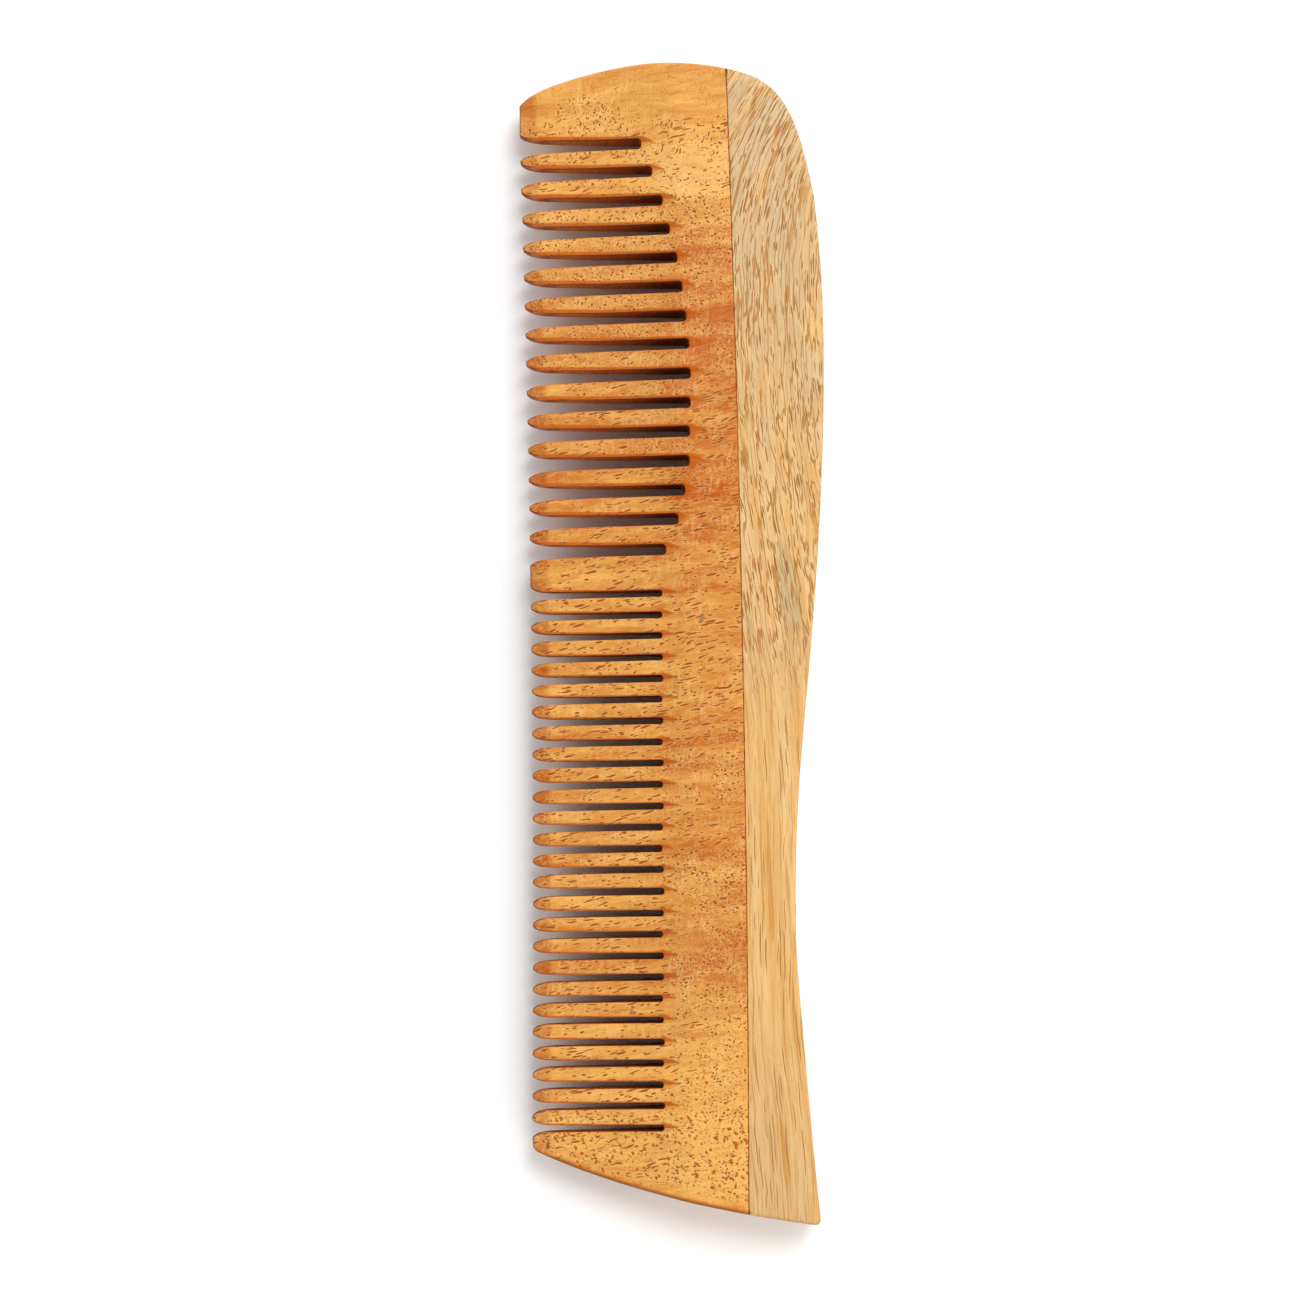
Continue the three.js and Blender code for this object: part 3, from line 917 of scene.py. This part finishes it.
def board_pores(nodes, at, colour):
    """Draws pores on the board: dashes, dots, and the slanting ones at its two ends."""
    dotted, dashed, rich = board_figure(nodes, at)
    flat = nodes.math("SUBTRACT", 1.0, at.hollow)
    off_end = nodes.ramp(at.from_end, -90.5, -88)
    top_guard = nodes.ramp(at.y, 77.5, 79.5)
    low_guard = nodes.times(nodes.ramp(at.y, -75.5, -77.5), off_end)
    cluster = nodes.spot(at.wavy, DARK_CLUSTER, (9, 5, 9))
    plain_top = nodes.most(nodes.ramp(at.y, 86.5, 84.5, 0.3, 1.0), cluster)
    open_wood = nodes.times(rich, off_end, flat, plain_top)
    dashes = nodes.times(dashed, open_wood)
    dots = nodes.times(dotted, open_wood)
    # Painted highlights: pale cream lines along the curly grain where the dots are, standing for light
    # caught on the grain's ridges.
    painted_ridge_highlights = nodes.lines(at.curly, (0.85, 0.6, 0.8), 20, 0.05, dots)
    colour = nodes.mix(nodes.times(painted_ridge_highlights, 0.4), colour, rgb(252, 214, 144))
    on_top = nodes.times(top_guard, flat, plain_top)
    strong = nodes.times(dots, 0.9)
    light = nodes.times(dots, 0.5)
    at_heel = nodes.times(low_guard, 0.75)
    layers = [
        nodes.pores(at.wavy, (3.3, 0.46, 0.9), 13, 0.37, 0.85, dashes),
        nodes.pores(at.wavy, (1.4, 0.45, 0.8), 12, 0.35, 0.7, dashes, (3, 5, 1)),
        nodes.pores(at.curly, (0.74, 0.52, 1.0), 20, 0.41, 0.95, strong, (9, 2, 4)),
        nodes.pores(at.curly, (0.56, 0.42, 0.9), -15, 0.39, 0.9, light, (6, 4, 8)),
        nodes.pores(at.curly, (1.15, 0.8, 1.3), -48, 0.4, 0.95, at_heel, (1, 8, 2)),
        nodes.pores(at.wavy, (0.4, 1.3, 0.8), -14, 0.36, 0.7, on_top, (5, 0, 2)),
    ]
    colours = rgb(254, 212, 136), rgb(200, 110, 44), rgb(172, 86, 34)
    return nodes.with_pores(colour, layers, 0.3, *colours)


def board_wear_and_painted_shade(nodes, at, colour):
    """Darkens the hollows and their creases (painted shade), the eased edges (partly rubbed, partly
    painted shade), the slopes facing -Y (painted shade), the edges at the tips, and the edge of the
    slanting end (painted shade), and adds a grey fleck.
    """
    # Painted shade: the saw's run-out hollows darken with their depth, and darker lines are painted
    # along their creases.
    colour = nodes.mix(nodes.times(at.hollow, 0.35), colour, rgb(198, 108, 38))
    crease_painted_shade = nodes.times(nodes.ramp(at.hollow, 0.0, 0.25), nodes.ramp(at.hollow, 0.6, 0.3), 0.35)
    colour = nodes.mix(crease_painted_shade, colour, rgb(170, 80, 26))
    colour = nodes.speckled(colour, at.place, (0.3, 0.22, 0.25), 0.91, 1.08)
    # The eased edges are darkened, partly as rubbed wear and partly as painted shade. Slopes facing -Y
    # get painted shade, as if the light came from +Y.
    rim = nodes.times(nodes.ramp(at.edge, 0.3, 0.9), 0.7)
    faced = nodes.split(nodes.add("TexCoord", {}).outputs["Normal"])
    off_wall = nodes.ramp(nodes.math("ABSOLUTE", faced[2]), 0.3, 0.7)
    turned = nodes.times(nodes.ramp(faced[1], -0.03, -0.25), off_wall, 0.85)
    colour = nodes.mix(nodes.most(rim, turned), colour, rgb(214, 112, 32))
    # Darker brown on the edges and walls near the tips.
    dark_tip_edges = nodes.times(nodes.ramp(at.from_tip, 2.2, 0.6), nodes.ramp(at.edge, 0.02, 0.4), 0.85)
    colour = nodes.mix(dark_tip_edges, colour, rgb(112, 56, 26))
    # Painted shade: a grey-brown band on the rounded edge of the slanting end, which faces away from the
    # light.
    end_edge_painted_shade = nodes.times(nodes.ramp(at.from_end, -85, -86.5), nodes.ramp(at.edge, 0.21, 0.45), 0.9)
    colour = nodes.mix(end_edge_painted_shade, colour, rgb(140, 104, 70))
    fleck = nodes.times(nodes.spot(at.wavy, GREY_FLECK, (0.6, 1.0, 4)), 0.7)
    return nodes.mix(fleck, colour, rgb(150, 118, 84))


def saw_cut_with_painted_shade(nodes, at, colour):
    """The raw walls of the slots, with painted light and shade: dark near the upper edge, near the tips
    and deep in the slot, lighter lower down.
    """
    # Painted light and shade on the walls, with saw marks in it: darker below the upper edge and towards
    # the closed end, lighter lower down as if lit by light bounced off the floor.
    light = nodes.times(nodes.ramp(at.down, 0.1, 0.5), nodes.ramp(at.from_tip, 2.5, 7))
    light = nodes.times(light, nodes.ramp(at.saw_marks, 0.1, 0.6, 0.4, 1.0))
    light = nodes.times(light, nodes.ramp(at.from_tip, 24, 16, 0.3, 1.0))
    # The two colours are the wall's wood as it looks in shade and in light.
    raw = nodes.mix(light, (0.24, 0.054, 0.01, 1), (0.82, 0.32, 0.09, 1))
    return nodes.mix(at.sawn, colour, raw)


def tooth_wood():
    """The toothed board's wood, with its grain along the teeth."""
    nodes = Nodes(bpy.data.materials.new("tooth_wood"))
    at = board_places(nodes)
    colour = board_ground(nodes, at)
    colour, pore = board_pores(nodes, at, colour)
    colour = saw_cut_with_painted_shade(nodes, at, board_wear_and_painted_shade(nodes, at, colour))
    relief = nodes.math("SUBTRACT", nodes.times(at.fibre, 0.3), pore)
    relief = nodes.math("ADD", relief, nodes.times(at.sawn, at.saw_marks, 0.8))
    dull = nodes.times(at.sawn, 0.35)
    roughness = nodes.math("ADD", nodes.ramp(at.patches, 0.3, 0.7, 0.38, 0.52), dull)
    return nodes.oiled_wood(colour, relief, 0.12, roughness)


# How grey the spine is along the comb, from 0, honey, to 1, grey.
SPINE_GREYS = (
    (-95, 0.55), (-80, 0.4), (-60, 0.0), (-15, 0.0), (2, 0.4), (20, 0.2), (35, 0.8),
    (70, 1.0), (85, 1.0), (95, 1.0),
)
# The middle and the reach of the bleached patch and of the two stains on the spine.
BLEACHED = (18, 84, THICKNESS), (6, 11, 9)
BELLY_STAIN = (21, 8, THICKNESS), (2.6, 11, 6)
JOINT_STAIN = (13.8, 1.5, THICKNESS), (0.9, 4, 4)
# The sweep of the spine's grain starts here and grows with the square of the distance above.
SWEEP_FROM, SWEEP = 60, 0.0105


def grain_of_spine(nodes, place):
    """Coordinates that follow the spine's grain, which leans and then sweeps over near the top."""
    x, y, z = nodes.split(place)
    above = nodes.math("MAXIMUM", nodes.math("SUBTRACT", y, SWEEP_FROM), 0.0)
    sweep = nodes.times(above, above, SWEEP)
    lean = nodes.ramp(y, -25, 50, 0.0, -7.0)
    heel = nodes.ramp(y, -95, -55, 2.2, 0.0)
    shift = nodes.math("ADD", nodes.math("ADD", sweep, lean), heel)
    straight = nodes.math("SUBTRACT", x, shift)
    return nodes.add("CombineXYZ", {0: straight, 1: y, 2: z}).outputs[0]


def spine_ground(nodes, place, wavy, fibre, lower):
    """The spine's colour under its pores: honey and grey figure, patches, fibres and streaks."""
    figure = nodes.noise(wavy, (1.6, 36, 4), 3, 0.55)
    colour = nodes.mix(nodes.ramp(figure, 0.3, 0.7), rgb(249, 206, 144), rgb(236, 180, 110))
    grey_figure = nodes.noise(wavy, (3.2, 18, 6), 3, 0.6, 0, (2, 0, 0))
    grey_figure = nodes.ramp(grey_figure, 0.25, 0.6)
    grey = nodes.times(nodes.along_comb(place, SPINE_GREYS), grey_figure, 0.9)
    colour = nodes.mix(grey, colour, rgb(218, 190, 148))
    bleached = nodes.times(nodes.spot(wavy, *BLEACHED), 0.5)
    colour = nodes.mix(bleached, colour, rgb(226, 200, 162))
    stained = nodes.most(nodes.spot(wavy, *BELLY_STAIN), nodes.spot(wavy, *JOINT_STAIN))
    colour = nodes.mix(nodes.times(stained, 0.75), colour, rgb(198, 176, 134))
    colour = nodes.mix(nodes.ramp(fibre, 0.45, 0.75, 0.0, 0.4), colour, rgb(214, 148, 82))
    streaks = nodes.noise(wavy, (0.32, 24, 0.6), 1, 0.5, 0, (3, 1, 6))
    streaks = nodes.times(nodes.ramp(streaks, 0.54, 0.66), lower, 0.55)
    colour = nodes.mix(streaks, colour, rgb(204, 138, 72))
    return nodes.speckled(colour, place, (0.22, 0.32, 0.22), 0.93, 1.06), figure


def spine_pores(nodes, place, wavy, upper, lower, colour):
    """Draws pores on the spine: short ones and lines in its upper half, long ones in its lower."""
    rich = nodes.noise(place, (4, 8, 6), 1, 0.5, 0, (2, 7, 3))
    rich = nodes.ramp(rich, 0.25, 0.45, 0.35, 1.0)
    short = nodes.times(rich, upper, 0.95)
    contours = nodes.times(rich, upper, 0.55)
    long = nodes.times(lower, 0.6)
    layers = [
        nodes.pores(wavy, (0.36, 6.5, 0.7), 0, 0.35, 0.85, short),
        nodes.pores(wavy, (0.34, 3.6, 0.7), 3, 0.34, 0.8, short, (4, 1, 2)),
        nodes.pores(wavy, (0.36, 16, 0.7), 0, 0.36, 0.9, long, (7, 3, 5)),
        (nodes.lines(wavy, (0.9, 12, 1), 0, 0.035, contours, (0, 0, 7)), 0),
    ]
    colours = rgb(254, 226, 174), rgb(198, 136, 74), rgb(170, 106, 54)
    return nodes.with_pores(colour, layers, 0.35, *colours)


def spine_wood():
    """The spine's wood, with its grain along the comb."""
    nodes = Nodes(bpy.data.materials.new("spine_wood"))
    place = nodes.place()
    grain = grain_of_spine(nodes, place)
    wavy = nodes.wobble(nodes.wobble(grain, (5, 14, 5), 1.2), (1.6, 3.2, 1.6), 0.3)
    fibre = nodes.noise(wavy, (0.34, 6, 0.5), 3, 0.6)
    upper = nodes.ramp(nodes.split(place)[1], -22, 8)
    lower = nodes.math("SUBTRACT", 1.0, upper)
    colour, figure = spine_ground(nodes, place, wavy, fibre, lower)
    colour, pore = spine_pores(nodes, place, wavy, upper, lower, colour)
    # The eased edges are darkened orange, partly as the edge's own colour and partly as painted shade on
    # the rounded edge.
    rim = nodes.times(nodes.ramp(nodes.attribute("edge"), 0.05, 0.8), 0.5)
    colour = nodes.mix(rim, colour, rgb(212, 132, 58))
    relief = nodes.math("SUBTRACT", nodes.times(fibre, 0.3), pore)
    return nodes.oiled_wood(colour, relief, 0.12, nodes.ramp(figure, 0.3, 0.7, 0.36, 0.5))


def dried_glue():
    """Brown glue with paler smears."""
    nodes = Nodes(bpy.data.materials.new("dried_glue"))
    uneven = nodes.noise(nodes.place(), (1, 1.6, 1), 3, 0.6)
    colour = nodes.mix(nodes.ramp(uneven, 0.3, 0.7), rgb(132, 66, 26), rgb(202, 132, 66))
    return nodes.oiled_wood(colour, uneven, 0.05, nodes.ramp(uneven, 0.3, 0.7, 0.3, 0.5))


# --- Scene ---


# The floor reaches this many metres each way, and lies this many millimetres below the comb.
FLOOR_REACH, FLOOR_GAP = 2.0, 0.02
# The key lamp, up beyond the rounded end: its place and width in metres, and its power in watts.
KEY_PLACE, KEY_WIDTH, KEY_POWER = (0.35, 0.68, 1.2), 0.85, 11.4
# The camera, nearly overhead: its place in millimetres, and its angles in degrees.
CAMERA_PLACE = (-4.84, -29.4, 507.8)
CAMERA_TILT, CAMERA_ROLL = 3.16, 0.95


def floor():
    """A plain pale floor just below the comb."""
    mesh = bpy.data.meshes.new("floor")
    sides = ((-1, -1), (1, -1), (1, 1), (-1, 1))
    corners = [(x * FLOOR_REACH, y * FLOOR_REACH, -FLOOR_GAP * MM) for x, y in sides]
    mesh.from_pydata(corners, [], [(0, 1, 2, 3)])
    piece = bpy.data.objects.new("floor", mesh)
    bpy.context.collection.objects.link(piece)
    nodes = Nodes(bpy.data.materials.new("floor_white"))
    nodes.finish((0.9, 0.9, 0.9, 1), 0.9, 0.1)
    mesh.materials.append(nodes.owner)


def studio():
    """White light from all round, dim near the floor, dark overhead, and brighter from one side."""
    nodes = Nodes(bpy.data.worlds.new("studio"))
    x, _, z = nodes.split(nodes.add("TexCoord", {}).outputs["Generated"])
    near_floor = nodes.ramp(z, 0.12, 0.4, 0.53, 1.05)
    overhead = nodes.ramp(z, 0.5, 0.8, 2.5, 0.02)
    sideways = nodes.ramp(x, -1, 1, 0.65, 1.3)
    background = nodes.tree.nodes["Background"]
    nodes.set(background, "Strength", nodes.times(near_floor, overhead, sideways))
    nodes.set(background, "Color", (1, 1, 1, 1))
    bpy.context.scene.world = nodes.owner


def key_lamp():
    """A soft round lamp aimed at the comb."""
    lamp = bpy.data.lights.new("key", "AREA")
    lamp.shape = "DISK"
    lamp.size = KEY_WIDTH
    lamp.energy = KEY_POWER
    piece = bpy.data.objects.new("key", lamp)
    piece.location = KEY_PLACE
    piece.rotation_euler = (-piece.location).to_track_quat("-Z", "Y").to_euler()
    bpy.context.collection.objects.link(piece)


def camera():
    """Nearly overhead, over the fine-toothed half, looking a little towards the rounded end."""
    data = bpy.data.cameras.new("camera")
    data.lens = 85
    data.sensor_width = 36
    piece = bpy.data.objects.new("camera", data)
    piece.matrix_world = (
        Matrix.Translation([value * MM for value in CAMERA_PLACE])
        @ Matrix.Rotation(-math.radians(CAMERA_ROLL), 4, "Z")
        @ Matrix.Rotation(math.radians(CAMERA_TILT), 4, "X")
    )
    bpy.context.collection.objects.link(piece)
    bpy.context.scene.camera = piece


bpy.context.scene.view_settings.view_transform = "Standard"
camera()
floor()
studio()
key_lamp()

slots = all_slots()
teeth = toothed_board(slots)
spine = spine_board()
glue = glue_line()
teeth.data.materials.append(tooth_wood())
spine.data.materials.append(spine_wood())
glue.data.materials.append(dried_glue())

TOOTH_NODES = [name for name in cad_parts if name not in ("spine", "glue_film")]
for piece, slot, stood_for in (
    (teeth, "tooth_wood", TOOTH_NODES),
    (spine, "spine_wood", ["spine"]),
    (glue, "glue", ["glue_film"]),
):
    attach(piece, "root")
    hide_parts(*stood_for)
